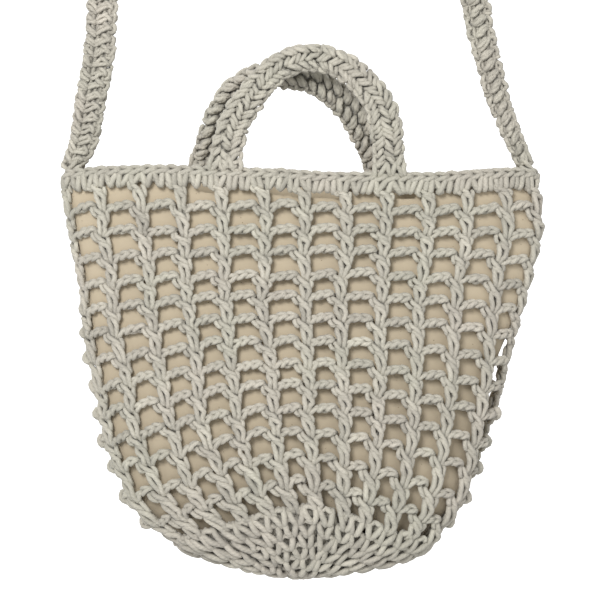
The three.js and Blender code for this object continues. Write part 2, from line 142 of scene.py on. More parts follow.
# Rounds of the net, from the rim down to the middle of the base. down and hang are shares of BODY_HEIGHT, width
# and sway of MOUTH_WIDTH. swell leads from the mouth's depth to the body's, close draws the depth in, turn is
# in ribs, and bow is the power by which the hang grows towards the two ends.
ROUND_COLUMNS = ("down", "hang", "width", "swell", "close", "sway", "turn", "bow")
ROUNDS = np.array([
    (0.000, 0.000, 1.000, 0.00, 1.00, 0.004, 0.00, 2.0),
    (0.058, 0.010, 0.986, 0.06, 1.00, 0.007, 0.00, 2.0),
    (0.112, 0.021, 0.970, 0.16, 1.00, 0.007, 0.00, 2.0),
    (0.168, 0.026, 0.947, 0.28, 1.00, 0.006, 0.00, 2.0),
    (0.227, 0.033, 0.925, 0.40, 1.00, 0.004, 0.00, 2.0),
    (0.282, 0.044, 0.905, 0.52, 1.00, -0.001, 0.05, 2.0),
    (0.338, 0.050, 0.888, 0.64, 1.00, -0.005, 0.12, 2.0),
    (0.397, 0.061, 0.868, 0.75, 1.00, -0.008, 0.20, 1.9),
    (0.453, 0.076, 0.845, 0.85, 1.00, -0.009, 0.27, 1.8),
    (0.508, 0.094, 0.818, 0.93, 1.00, -0.012, 0.33, 1.8),
    (0.567, 0.104, 0.792, 0.98, 1.00, -0.015, 0.40, 1.6),
    (0.625, 0.117, 0.747, 1.00, 1.00, -0.013, 0.46, 1.5),
    (0.686, 0.134, 0.691, 1.00, 0.97, -0.014, 0.54, 1.4),
    (0.758, 0.120, 0.607, 1.00, 0.90, -0.008, 0.60, 1.3),
    (0.824, 0.105, 0.510, 1.00, 0.78, 0.006, 0.62, 1.3),
    (0.884, 0.078, 0.378, 1.00, 0.61, 0.016, 0.64, 1.3),
    (0.939, 0.043, 0.248, 1.00, 0.44, 0.010, 0.66, 1.3),
    (0.985, 0.008, 0.136, 1.00, 0.28, 0.000, 0.66, 1.3),
    (1.000, 0.000, 0.000, 1.00, 0.00, 0.000, 0.66, 1.3),
], dtype=[(name, "f8") for name in ROUND_COLUMNS])
LAST_ROUND = len(ROUNDS) - 1

# The net's pieces, each with its first round and the round after its last
NET_PIECES = (("net_upper", 0, 4), ("net_middle", 4, 8), ("net_lower", 8, 12), ("net_base", 12, LAST_ROUND))

# The ribs at the net's two ends that have loops, and the round at which their loops start
LOOPED_RIBS = ((0, 5), (RIB_COUNT // 2, 9))

# The rim's wave: across in half widths of the mouth, and its lift as a share of RIM_HEIGHT
RIM_WAVE = np.array([
    (-1.00, 0.00), (-0.80, 0.18), (-0.62, 0.24), (-0.16, 0.05),
    (0.16, -0.15), (0.52, -0.15), (0.90, 0.08), (1.00, 0.00),
])

# The handles' arches: across is a share of the span, up a share of the rise
FRONT_ARCH = np.array([
    (-0.500, 0.000), (-0.479, 0.263), (-0.433, 0.439), (-0.357, 0.614), (-0.264, 0.798), (-0.130, 0.947),
    (0.027, 1.000), (0.195, 0.942), (0.330, 0.798), (0.433, 0.614), (0.476, 0.439), (0.490, 0.263),
    (0.500, 0.000),
])
BACK_ARCH = np.array([
    (-0.512, 0.000), (-0.476, 0.258), (-0.444, 0.464), (-0.396, 0.660), (-0.325, 0.845), (-0.215, 0.962),
    (-0.070, 1.000), (0.088, 0.972), (0.222, 0.838), (0.333, 0.650), (0.409, 0.433), (0.466, 0.247),
    (0.520, 0.000),
])

# The strap's legs: rise as a share of STRAP_DROP, the left and the right leg's distance from the middle as
# shares of the foot's, and how far each has opened from its bunched foot to its full width
STRAP_LEGS = np.array([
    (0.000, 1.000, 0.970, 0.20, 0.00), (0.014, 0.976, 0.950, 0.50, 0.02), (0.042, 0.938, 0.914, 0.85, 0.15),
    (0.098, 0.908, 0.846, 1.00, 0.43), (0.168, 0.869, 0.788, 1.00, 0.66), (0.238, 0.853, 0.743, 1.00, 0.80),
    (0.450, 0.785, 0.628, 1.00, 1.00), (0.660, 0.700, 0.525, 1.00, 1.00),
])

# The liner's rings: the round of the net, how far the right side is drawn in and how far the ring is closed
LINER_RINGS = np.array([
    (1.0, 0.000, 1.00), (3.0, -0.010, 1.00), (5.0, -0.010, 1.00), (7.0, 0.040, 1.00), (9.0, 0.055, 1.00),
    (10.5, 0.040, 1.00), (11.7, 0.000, 0.98), (12.7, 0.000, 0.95), (13.6, 0.000, 0.88), (14.3, 0.000, 0.70),
    (14.8, 0.000, 0.36), (15.0, 0.000, 0.00),
])

# The liner's hem hangs below the rim on three stretches of the front. In millimetres: their middles and half
# lengths, how long the hem takes to fall, and the heights of its three rings behind the rim and below it.
HEM_GAPS = ((-62.0, 13.0), (2.0, 27.0), (71.0, 12.0))
HEM_FALL = 8.0
HEM_RINGS = ((LINER_HEM, -3.9), (-GAP, -4.5), (-RIM_HEIGHT / 4, -5.1))

# The liner's mesh, its shares of LINER_RINGS' drawing in and of the wall's slope, and in millimetres how far
# it swells out between the ribs, how far it is held back and how high its upright waves are
LINER_ROWS, LINER_ACROSS = 110, 168
LINER_NARROW, LINER_SLOPE = 0.4, 0.3
LINER_SWELL, LINER_BACK, LINER_WAVE = 0.5, 0.7, 0.5

# The size of the cloth's map in metres: round and down
CLOTH_MAP = (0.7, 0.27)

# A post's strands: across in cord diameters, down as a share of the round's height, and out in cord diameters
POST_STRANDS = [
    [(-2.75, -0.30, -0.10), (-2.70, -0.12, 0.45), (-2.20, 0.06, 0.55), (-1.30, 0.18, 0.05)],
    [(-2.1, -0.24, -0.15), (-1.55, -0.08, 0.55), (-0.60, 0.07, 0.95), (0.25, 0.20, 0.90), (0.65, 0.36, 0.30)],
    [(0.4, -0.04, -0.30), (0.98, 0.07, 0.45), (1.15, 0.20, 0.60), (0.98, 0.36, 0.45), (0.6, 0.50, -0.10)],
    [(-1.2, 0.08, 0.10), (-0.45, 0.22, 0.85), (0.40, 0.36, 1.15), (0.80, 0.50, 1.05), (0.66, 0.65, 0.85),
     (0.46, 0.80, 0.70), (0.36, 0.96, 0.40), (0.2, 1.08, -0.40)],
    [(-0.9, 0.10, -0.20), (-1.00, 0.27, 0.40), (-0.88, 0.44, 0.80), (-0.58, 0.62, 0.85), (-0.44, 0.82, 0.70),
     (-0.25, 1.06, -0.30)],
    [(-0.1, 0.30, -0.45), (0.05, 0.52, -0.10), (0.0, 0.76, 0.20), (0.0, 0.96, -0.10)],
]
POST_GIRTHS = (1.1, 1.15, 1.08, 1.25, 1.28, 1.1)

# A stitch of the closed base, in the same measures: the fill, its head and two legs that draw together
BASE_STRANDS = [
    [(-0.6, -0.20, -0.6), (-0.55, 0.40, -0.35), (-0.3, 1.20, -0.6)],
    [(0.6, -0.20, -0.6), (0.55, 0.40, -0.35), (0.3, 1.20, -0.6)],
    [(1.7, 0.05, -0.4), (1.60, 0.60, -0.2), (1.7, 1.15, -0.5)],
    [(-1.7, 0.16, -0.2), (-1.0, -0.10, 0.75), (-0.1, -0.20, 0.55), (0.8, -0.12, 0.80), (1.6, 0.12, 0.0)],
    [(-1.5, -0.20, -0.2), (-1.45, 0.12, 0.80), (-1.0, 0.55, 1.15), (-0.5, 0.98, 0.85), (-0.3, 1.25, -0.2)],
    [(1.5, -0.20, -0.2), (1.35, 0.12, 0.85), (0.85, 0.50, 1.20), (0.35, 0.90, 1.00), (0.1, 1.20, -0.1)],
]
BASE_GIRTHS = (1.4, 1.4, 1.3, 1.3, 1.5, 1.5)
BASE_START, BASE_STEP, BASE_PITCH = 13.8, 0.6, 3.7
BASE_FEWEST = 6

# A loop that stands out at each end of the net, in the same measures
END_LOOP = [(-0.5, -0.36, 0.0), (-0.4, -0.40, 0.9), (0.0, -0.26, 1.5), (0.4, -0.14, 1.0), (0.4, -0.12, 0.0)]

# One link of a chain: along is in links, side and out in cord diameters about the chain's own line
LINK = np.array([
    (-0.15, 0.00, -0.72), (0.10, -0.12, -0.15), (0.42, -0.20, 0.50), (0.82, -0.50, 0.45), (1.20, -0.60, 0.05),
    (1.42, -0.20, -0.30), (1.42, 0.20, -0.30), (1.20, 0.60, 0.05), (0.82, 0.50, 0.45), (0.42, 0.20, 0.50),
    (0.15, 0.10, -0.20), (0.40, 0.00, -0.78),
])

# One row of a worked band. Along is in rows, across in half widths with the inner edge at 1, and out in half
# thicknesses. The ribbed face has three columns of short slanting stitches, the braided face has strands that
# meet at an angle, and the puffed face has a puff of three strands between two scalloped edges.
RIBBED_FACE = [
    [(-0.46, -0.98, 0.30), (-0.22, -0.84, 1.02), (0.10, -0.60, 1.20), (0.40, -0.40, 0.60)],
    [(-0.06, -1.00, 0.25), (0.18, -0.82, 0.90), (0.48, -0.56, 1.05), (0.72, -0.40, 0.45)],
    [(0.46, -0.46, 0.50), (0.20, -0.22, 1.22), (-0.12, 0.06, 1.30), (-0.34, 0.28, 0.70)],
    [(0.04, -0.44, 0.50), (-0.22, -0.16, 1.12), (-0.50, 0.08, 1.18), (-0.72, 0.26, 0.60)],
    [(-0.50, 0.26, 0.60), (-0.26, 0.46, 1.18), (0.06, 0.68, 1.12), (0.30, 0.90, 0.40)],
    [(-0.08, 0.24, 0.60), (0.18, 0.50, 1.10), (0.46, 0.72, 1.00), (0.66, 0.94, 0.20)],
    [(-0.44, 0.84, 0.10), (-0.12, 1.02, 0.50), (0.26, 1.06, 0.40), (0.54, 0.86, -0.10)],
    [(-0.50, -0.84, 0.10), (-0.20, -1.02, 0.45), (0.20, -1.04, 0.35), (0.48, -0.84, -0.10)],
]
BRAIDED_FACE = [
    [(0.52, -1.02, 0.20), (0.28, -0.86, 0.85), (0.00, -0.55, 1.15), (-0.28, -0.22, 0.50)],
    [(0.18, -1.02, 0.10), (-0.04, -0.90, 0.50), (-0.32, -0.62, 0.75), (-0.54, -0.36, 0.40)],
    [(-0.42, -0.40, 0.50), (-0.18, -0.02, 1.20), (0.06, 0.34, 1.25), (0.20, 0.66, 0.95), (0.16, 0.88, 0.30)],
    [(-0.10, -0.36, 0.35), (0.12, -0.08, 0.95), (0.32, 0.20, 1.00), (0.42, 0.46, 0.50)],
    [(0.60, 0.16, 0.60), (0.48, 0.42, 1.30), (0.26, 0.68, 1.20), (0.00, 0.82, 0.40)],
    [(-0.36, 0.72, 0.30), (0.02, 1.00, 0.50), (0.42, 1.06, 0.40), (0.66, 0.86, 0.10)],
]
PUFFED_FACE = [
    [(0.34, 0.68, 0.20), (0.34, 0.32, 1.15), (0.10, -0.06, 1.40), (-0.20, -0.38, 1.10), (-0.36, -0.72, 0.20)],
    [(0.30, 0.68, 0.20), (0.16, 0.28, 1.40), (-0.06, -0.02, 1.75), (-0.24, -0.32, 1.40), (-0.34, -0.72, 0.20)],
    [(0.28, 0.68, 0.20), (-0.04, 0.26, 1.10), (-0.24, -0.02, 1.40), (-0.40, -0.30, 1.10), (-0.36, -0.72, 0.20)],
    [(-0.50, 0.66, 0.20), (-0.24, 0.98, 0.70), (0.16, 1.06, 0.70), (0.44, 0.72, 0.10)],
    [(-0.46, -0.72, 0.10), (-0.16, -1.04, 0.65), (0.24, -1.00, 0.65), (0.48, -0.68, 0.10)],
]

# Two columns of narrower puffs: their middles, and their width as a share of a whole puff's
PUFF_MIDDLES, PUFF_SHARE = (-0.46, 0.42), 0.62
PUFF_COLUMNS = [[(along, middle + PUFF_SHARE * across, out) for along, across, out in chart]
                for middle in PUFF_MIDDLES for chart in PUFFED_FACE[:3]]

# The loops round a band's two edges, and where its cores run
BAND_WRAPS = [
    [(0.45, 0.62, 0.75), (0.52, 0.99, 0.30), (0.52, 0.99, -0.35), (0.45, 0.62, -0.75)],
    [(0.55, -0.62, 0.75), (0.48, -0.97, 0.30), (0.48, -0.97, -0.35), (0.55, -0.62, -0.75)],
]
CORES_ACROSS = (-0.60, -0.20, 0.20, 0.60)

# A strand where a band's foot joins the rim: across in half widths, up in millimetres, out in half
# thicknesses. The strands fan out: each has its place across the foot and its tilt.
FOOT_STRAND = [(0.80, 6.5, 0.50), (0.86, 4.0, 1.00), (0.98, 1.0, 1.05), (1.08, -2.0, 0.75), (1.10, -4.0, 0.20)]
FOOT_FANS = ((-0.95, 0.12), (-0.60, -0.22), (-0.30, 0.22), (0.05, -0.22), (0.40, 0.22), (0.95, -0.18))

# The strands that carry the strap's foot down round each end of the rim, in millimetres from the rim's end:
# away from the bag's middle, out from its front or its back, and up
END_STRANDS = [
    [(-8.5, 4.0, 7.0), (-4.5, 4.4, 3.0), (-0.4, 4.2, -2.5), (1.4, 3.8, -10.0), (-0.5, 3.8, -17.5)],
    [(-11.0, 4.4, 3.5), (-7.0, 5.0, 0.0), (-3.4, 5.0, -5.0), (-2.6, 4.6, -12.0), (-5.0, 4.0, -16.5)],
    [(-14.5, 4.4, -1.5), (-9.0, 5.2, -3.5), (-5.4, 5.2, -8.0), (-6.4, 4.6, -13.0)],
]

# The cord's cool and warm hues, its dark and light shades, its painted shade where strands crowd, its plies and
# their turn in millimetres. Then the calico's dark and light shades, which serve both its cloudy tone and a
# painted shade towards its bottom, its specks' colour and the pitch of its threads in metres.
CORD_HUES = ((0.99, 1.005, 0.985), (1.015, 0.995, 1.0))
CORD_SHADES = (0.76, 1.24)
CREVICE_SHADE_SHARE = 0.3
PLIES, PLY_LENGTH = 3, 3.0
CALICO_SHADES = (0.80, 1.16)
SPECK_TINT = (0.16, 0.11, 0.06)
THREAD_PITCH = 0.0009

# The studio: the strength of its world, each sheet's glow, the backdrop's distance behind the bag and the
# sheets' half width, then each light's place, size and watts
WORLD_STRENGTH = 0.46
FLOOR_GLOW, BACKDROP_GLOW = 0.15, 1.0
BACKDROP_BACK, STUDIO_REACH = 2.6, 8.0
LIGHTS = (("key_light", (-0.6, -1.8, 0.35), 0.7, 34.0), ("fill_light", (1.2, -1.4, -0.2), 1.2, 4.0))
LIGHT_AIM = (0.0, 0.0, -0.6)
SENSOR_WIDTH = 36.0


# Lines and surfaces

def unit(v):
    """Vectors divided by their lengths."""
    return v / np.maximum(np.linalg.norm(v, axis=-1, keepdims=True), 1e-9)


def smooth_step(x):
    """From 0 to 1 with level ends: 3 x squared less 2 x cubed."""
    x = np.clip(x, 0, 1)
    return x * x * (3 - 2 * x)


def smooth_read(values, at):
    """Values, along their first axis, at places between them: a cubic whose slope at each value is half the
    difference of its neighbours."""
    at = np.clip(at, 0, len(values) - 1)
    low = np.minimum(np.floor(at).astype(int), len(values) - 2)
    t = (at - low).reshape(at.shape + (1,) * (values.ndim - 1))
    a, b, c, d = (values[np.clip(low + k, 0, len(values) - 1)] for k in (-1, 0, 1, 2))
    return b + 0.5 * t * (c - a + t * (2 * a - 5 * b + 4 * c - d) + t * t * (3 * b - 3 * c + d - a))


def smooth_lines(points, per=2):
    """Lines, (lines, points, 3), with per stations between each two points of smooth_read's cubic."""
    at = np.linspace(0, points.shape[1] - 1, (points.shape[1] - 1) * per + 1)
    return np.moveaxis(smooth_read(np.moveaxis(points, 1, 0), at), 0, 1)


def line_read(values, at):
    """Values along their first axis at places between them, mixed from the two nearest."""
    at = np.clip(at, 0, len(values) - 1)
    low = np.minimum(np.floor(at).astype(int), len(values) - 2)
    t = (at - low).reshape(at.shape + (1,) * (values.ndim - 1))
    return values[low] * (1 - t) + values[low + 1] * t


def grid_read(grid, row, column):
    """A grid's values at fractional places, mixed from the four points round each. Its columns go round."""
    column = column % grid.shape[1]
    r0, c0 = np.floor(row).astype(int), np.floor(column).astype(int)
    tr, tc = row - r0, column - c0
    if grid.ndim == 3:
        tr, tc = tr[..., None], tc[..., None]
    c0 = c0 % grid.shape[1]
    c1 = (c0 + 1) % grid.shape[1]
    top = grid[r0, c0] * (1 - tc) + grid[r0, c1] * tc
    low = grid[r0 + 1, c0] * (1 - tc) + grid[r0 + 1, c1] * tc
    return top * (1 - tr) + low * tr


def even_line(points):
    """A smooth line through points, cut into equal lengths of about BAND_STATION."""
    fine = smooth_read(points, np.linspace(0, len(points) - 1, len(points) * 40))
    lengths = np.concatenate([[0], np.cumsum(np.linalg.norm(np.diff(fine, axis=0), axis=1))])
    wanted = np.linspace(0, lengths[-1], round(lengths[-1] / BAND_STATION) + 1)
    return line_read(fine, np.interp(wanted, lengths, np.arange(len(fine))))


def rim_lift(x):
    """The rim edge's lift at x: a smooth step between neighbouring rows of its wave, times its height."""
    across = np.clip(np.asarray(x) / (MOUTH_WIDTH / 2), -1, 1)
    rows, lifts = RIM_WAVE.T
    high = np.clip(np.searchsorted(rows, across), 1, len(rows) - 1)
    share = smooth_step((across - rows[high - 1]) / (rows[high] - rows[high - 1]))
    return RIM_HEIGHT * (lifts[high - 1] * (1 - share) + lifts[high] * share)


def arc_angles(shares, ratio, steps=240):
    """Angles on an ellipse of half axes 1 and ratio at which the shares of its length have been passed: the
    lengths of its short chords are summed, and the sum is read backwards."""
    middle = 2 * np.pi * (np.arange(steps) + 0.5) / steps
    lengths = np.concatenate([[0], np.cumsum(np.hypot(np.sin(middle), ratio * np.cos(middle)))])
    turns = np.floor(shares)
    angles = np.interp((shares - turns) * lengths[-1], lengths, np.linspace(0, 2 * np.pi, steps + 1))
    return angles + 2 * np.pi * turns


def round_at(level):
    """Every column of the table of rounds at one place between its rows."""
    return {name: float(smooth_read(ROUNDS[name], np.array(level))) for name in ROUND_COLUMNS}


def half_sizes(level):
    """Half the width and half the depth of the net's middle surface at a round."""
    row = round_at(level)
    depth = MOUTH_DEPTH + (BODY_DEPTH - MOUTH_DEPTH) * row["swell"]
    return MOUTH_WIDTH / 2 * row["width"], depth / 2 * row["close"]


def net_ring(level, ribs, narrow=0.0, close=1.0, inset=(0.0, 0.0)):
    """Points of one round of the net's middle surface at the given ribs: an ellipse whose half width and half
    depth come from the table, with the ribs at equal lengths round it, hung lower towards its two ends. Its
    right end is drawn in over the last sixth of the mouth's width."""
    row = round_at(level)
    full, deep = half_sizes(level)
    half_width = max((full * (1 - narrow) - inset[0]) * close, 0.01)
    half_depth = max((deep - inset[1]) * close, 0.01)
    angle = arc_angles((ribs + row["turn"]) / RIB_COUNT, half_depth / half_width)
    x = MOUTH_WIDTH * row["sway"] - full * narrow - half_width * np.cos(angle)
    x = x - RIGHT_DRAW * max(1 - level / DRAW_ROUNDS, 0) * smooth_step(x / MOUTH_WIDTH * 6 - 2)
    side = np.abs(np.cos(angle)) * close
    hang = row["hang"] * np.hypot(side, 0.1) ** row["bow"]
    lift = rim_lift(x) * max(1 - level / WAVE_ROUNDS, 0)
    z = -RIM_HEIGHT - GAP - BODY_HEIGHT * (row["down"] + hang) + lift
    return np.stack([x, -half_depth * np.sin(angle), z], axis=-1)


class NetSurface:
    """The net's middle surface on a fine grid of rounds and ribs. The nodes, where a rib meets a round, are
    shifted a little, as work done by hand is."""

    per_round = 8
    per_rib = 16
    wander = (1.2, 0.9)

    def __init__(self, unevenness):
        levels = np.linspace(0, LAST_ROUND - 0.02, LAST_ROUND * self.per_round + 1)
        ribs = np.arange(RIB_COUNT * self.per_rib) / self.per_rib
        self.points = np.stack([net_ring(level, ribs) for level in levels])
        around = np.roll(self.points, -1, axis=1) - np.roll(self.points, 1, axis=1)
        self.normals = unit(np.cross(np.gradient(self.points, axis=0), around))
        self.pitch = np.linalg.norm(around, axis=-1) * self.per_rib / 2
        draw = np.random.default_rng(7)
        self.shift = draw.normal(0, 1, (LAST_ROUND + 2, RIB_COUNT, 2)) * unevenness * self.wander
        self.shift[0] = 0
        self.shift[:, [0, RIB_COUNT // 2], 0] += np.array([END_TURN, -END_TURN]) * min(unevenness, 1.0)

    def mixed(self, grid, level, rib):
        """A fine grid's values at rounds and ribs."""
        row = np.clip(level * self.per_round, 0, grid.shape[0] - 1.001)
        return grid_read(grid, row, rib * self.per_rib)

    def pitch_at(self, level):
        """The length from each rib to the next on a round."""
        return self.mixed(self.pitch, np.full(RIB_COUNT, float(level)), np.arange(RIB_COUNT) + 0.0)

    def at(self, level, rib, across=0.0, out=0.0):
        """Points at a round and a rib, moved across by a length along the round and out from the surface, and
        the surface's outward direction there. Above the first round the surface goes on straight up."""
        level, rib, across, out = np.broadcast_arrays(level, rib, across, out)
        shift = grid_read(self.shift, np.clip(level, 0, LAST_ROUND), rib)
        rib = rib + (across + shift[..., 0]) / self.mixed(self.pitch, level, rib)
        above = np.maximum(-level, 0) * ROUND_HEIGHT
        level = np.maximum(level + shift[..., 1] / ROUND_HEIGHT, 0)
        point = self.mixed(self.points, level, rib)
        normal = unit(self.mixed(self.normals, level, rib))
        return point + normal * out[..., None] + above[..., None] * UP, normal


def to_frame(points):
    """From millimetres about the middle of the rim to metres from the loop's inside top."""
    return (points + np.array([-LOOP_SHIFT, 0.0, -STRAP_DROP])) / 1000


def finished(mesh, name, node, material):
    """The object of a mesh, with its material, riding on the one body and standing for its solid."""
    piece = bpy.data.objects.new(name, mesh)
    bpy.context.scene.collection.objects.link(piece)
    mesh.materials.append(material)
    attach(piece, "root")
    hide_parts(node)
    return piece


def crowding(points, areas, probes):
    """How much cord there is about each probe, in square millimetres of its surface to a cubic millimetre:
    the areas at the points are summed in cubes, each cube takes the mean of itself and its neighbours, and
    the probe reads its own cube."""
    low = np.minimum(points.min(axis=0), probes.min(axis=0)) - 2 * CROWD_CUBE
    cubes, read = (((some - low) / CROWD_CUBE).astype(int) for some in (points, probes))
    size = np.maximum(cubes.max(axis=0), read.max(axis=0)) + 3
    total = np.bincount(np.ravel_multi_index(cubes.T, size), weights=areas, minlength=np.prod(size))
    total = total.reshape(size)
    for axis in range(3):
        total = (np.roll(total, 1, axis) + total + np.roll(total, -1, axis)) / 3
    return total[tuple(read.T)] / CROWD_CUBE ** 3


def square_rings(lines, sides, closed):
    """At each station of lines, (lines, stations, 3), a ring of directions square to the line: the cosine and
    the sine of equal angles on two directions that are carried along without twisting."""
    if closed:
        tangent = unit(np.roll(lines, -1, axis=1) - np.roll(lines, 1, axis=1))
    else:
        tangent = unit(np.gradient(lines, axis=1))
    carried = np.empty_like(lines)
    carried[:, 0] = unit(np.cross(tangent[:, 0], np.array([0.31, 0.52, 0.79])))
    for i in range(1, lines.shape[1]):
        along = np.sum(carried[:, i - 1] * tangent[:, i], axis=-1, keepdims=True)
        carried[:, i] = unit(carried[:, i - 1] - tangent[:, i] * along)
    other = np.cross(tangent, carried)
    angle = 2 * np.pi * np.arange(sides)[:, None] / sides
    return carried[:, :, None] * np.cos(angle) + other[:, :, None] * np.sin(angle)


class Strands:
    """Tubes gathered into one mesh: their corners, faces, a cord map in millimetres and turns, a tone each,
    and what their crowding is read from."""

    tip = 0.55

    def __init__(self, cord, seed):
        self.cord = cord
        self.draw = np.random.default_rng(seed)
        self.corners, self.loops, self.sides, self.maps, self.tones = [], [], [], [], []
        self.probes, self.areas = [], []
        self.count = 0

    def wobble(self, part, shape):
        """How far points wander from a chart, in millimetres."""
        return self.draw.normal(0, WOBBLES[part] * self.cord, shape)

    def add(self, lines, girth, sides=6, closed=False):
        """Tubes round lines, (lines, stations, 3), with a ring of corners about each station. An open tube's
        ends are drawn in and closed."""
        n, m = lines.shape[:2]
        ring = square_rings(lines, sides, closed)
        size = np.full((n, m), self.cord / 2 * girth)
        if not closed:
            size[:, [0, -1]] *= self.tip
        corners = lines[:, :, None] + ring * size[:, :, None, None]
        index = self.count + np.arange(n * m * sides).reshape(n, m, sides)
        after = np.roll(index, -1, axis=2)
        spans = m if closed else m - 1
        ahead, ahead_after = (np.roll(grid, -1, axis=1)[:, :spans] for grid in (index, after))
        quads = np.stack([index[:, :spans], after[:, :spans], ahead_after, ahead], axis=-1).reshape(-1, 4)
        steps = np.linalg.norm(np.roll(lines, -1, axis=1) - lines, axis=-1)[:, :spans]
        length = np.concatenate([np.zeros((n, 1)), np.cumsum(steps, axis=1)], axis=1)
        length = length + self.draw.uniform(0, 50, (n, 1))
        u0, u1 = (np.repeat(part[:, :, None], sides, axis=2) for part in (length[:, :-1], length[:, 1:]))
        v0 = np.broadcast_to(np.arange(sides) / sides, u0.shape)
        v1 = v0 + 1 / sides
        self.maps.append(np.stack([u0, v0, u0, v1, u1, v1, u1, v0], axis=-1).reshape(-1, 2))
        self.corners.append(corners.reshape(-1, 3))
        self.probes.append((corners + ring * CROWD_REACH).reshape(-1, 3))
        step = np.linalg.norm(np.gradient(lines, axis=1), axis=-1)
        self.areas.append(np.repeat((step * size * 2 * np.pi / sides).ravel(), sides))
        self.loops.append(quads.ravel())
        self.sides.append(np.full(len(quads), 4))
        if not closed:
            ends = np.concatenate([index[:, 0, ::-1], index[:, -1]])
            self.loops.append(ends.ravel())
            self.sides.append(np.full(len(ends), sides))
            self.maps.append(np.zeros((ends.size, 2)))
        self.tones.append(np.repeat(self.draw.normal(0, 1, n), m * sides))
        self.count += n * m * sides

    def piece(self, name, node, material):
        """One object of all the tubes, set into the frame."""
        corners = np.concatenate(self.corners)
        crowd = crowding(corners, np.concatenate(self.areas), np.concatenate(self.probes))
        corners = to_frame(corners)
        loops, sides = np.concatenate(self.loops), np.concatenate(self.sides)
        mesh = bpy.data.meshes.new(name)
        mesh.vertices.add(len(corners))
        mesh.vertices.foreach_set("co", corners.astype(np.float32).ravel())
        mesh.loops.add(len(loops))
        mesh.loops.foreach_set("vertex_index", loops.astype(np.int32))
        mesh.polygons.add(len(sides))
        mesh.polygons.foreach_set("loop_start", (np.cumsum(sides) - sides).astype(np.int32))
        mesh.polygons.foreach_set("use_smooth", np.ones(len(sides), bool))
        mesh.update(calc_edges=True)
        cord_map = mesh.uv_layers.new(name="cord")
        cord_map.data.foreach_set("uv", np.concatenate(self.maps).astype(np.float32).ravel())
        # The painted shade in the crevices: a share, from none to full, of the cord crowded about each corner.
        crevice_shade = np.clip(crowd / FULL_CROWD, 0, 1)
        for kind, values in (("tone", np.concatenate(self.tones)), ("crevice_shade", crevice_shade)):
            attribute = mesh.attributes.new(kind, "FLOAT", "POINT")
            attribute.data.foreach_set("value", values.astype(np.float32))
        return finished(mesh, name, node, material)


# Stitches

def chain_lines(strands, line, normal, links, lean, spread=1.0):
    """The yarn of a row of chain stitches along lines, (lines, stations, 3): each link's chart is moved on by
    one link, and the whole chain is turned about its own line so that its face leans up by lean."""
    n, m = line.shape[:2]
    tangent = unit(np.gradient(line, axis=1))
    side = unit(np.cross(tangent, normal))
    out = unit(np.cross(side, tangent))
    lean = np.broadcast_to(np.asarray(lean, float).reshape(-1, 1, 1), (n, 1, 1))
    turned_side = side * np.cos(lean) - out * np.sin(lean)
    turned_out = out * np.cos(lean) + side * np.sin(lean)
    along = (LINK[:, 0] + np.arange(links)[:, None]).ravel()
    sides, outs = (np.tile(LINK[:, i], links)[None, :, None] * strands.cord for i in (1, 2))
    place = (along - LINK[0, 0]) / (links + LINK[5, 0] - 1 - LINK[0, 0]) * (m - 1)
    base, turned_side, turned_out = (np.moveaxis(line_read(np.moveaxis(grid, 1, 0), place), 0, 1)
                                     for grid in (line, turned_side, turned_out))
    points = base + turned_side * sides * spread + turned_out * outs
    return smooth_lines(points + strands.wobble("chain", points.shape))


def add_stitches(strands, net, cells, charts, girths, wide=1.0, tall=1.0):
    """A stitch in each cell. Each strand's chart is laid on the net about the cell's node, with its width
    times wide, its height times tall, and a little unevenness in its points."""
    level, rib = (place.ravel() for place in cells)
    for chart, girth in zip(charts, girths):
        points = np.array(chart)
        wobble = strands.wobble("stitch", (3, len(level), len(points)))
        across = points[:, 0] * strands.cord * wide + wobble[0]
        out = points[:, 2] * strands.cord + wobble[1] * 0.6
        down = level[:, None] + points[:, 1] * tall + wobble[2] / ROUND_HEIGHT
        place, _ = net.at(down, rib[:, None], across, out)
        strands.add(smooth_lines(place), girth * wide ** 0.6)


def add_posts(strands, net, first, last, wide=1.0):
    """A post from each node of the net between two rounds to the next round."""
    cells = np.meshgrid(np.arange(first, last), np.arange(RIB_COUNT), indexing="ij")
    add_stitches(strands, net, cells, POST_STRANDS, POST_GIRTHS, wide)


def add_chains(strands, net, first, last):
    """Chains across each gap. They are worked from the right: they start beside the post on the right, above
    its foot, and fall to the foot of the post on the left."""
    cord = strands.cord
    ribs = np.arange(RIB_COUNT)[:, None].astype(float)
    share = np.linspace(1, 0, 13)[None]
    arch = np.sin(np.pi * share)
    for level in range(first, last):
        pitch = net.mixed(net.pitch, np.full(ribs.shape, float(level)), ribs + 0.5)
        start, end = CHAIN_START * cord, pitch - CHAIN_END * cord
        across = start + (end - start) * share
        sag = strands.draw.normal(0, CHAIN_SAG, ribs.shape) * arch
        rise = sag - CHAIN_FOOT - CHAIN_RISE * np.sin(np.pi / 2 * np.minimum(share * 1.5, 1))
        line, normal = net.at(level + rise, ribs + across / pitch, 0.0, cord * (CHAIN_BULGE * arch - 0.1))
        lean = strands.draw.uniform(*CHAIN_LEAN, RIB_COUNT)
        lines = chain_lines(strands, line, normal, NET_LINKS[level], lean)
        strands.add(lines, GIRTHS["chain"], sides=5)


def add_end_loops(strands, net, levels, rib):
    """A loop at one end of the net on each of the levels."""
    points = np.array(END_LOOP)
    wobble = strands.wobble("end loop", (2, len(levels), len(points)))
    down = levels[:, None] + points[:, 1]
    across, out = points[:, 0] * strands.cord + wobble[0], points[:, 2] * strands.cord + wobble[1]
    turned = rib - smooth_read(ROUNDS["turn"], levels)[:, None]
    place, _ = net.at(down, turned, across, out)
    strands.add(smooth_lines(place), GIRTHS["end loop"])


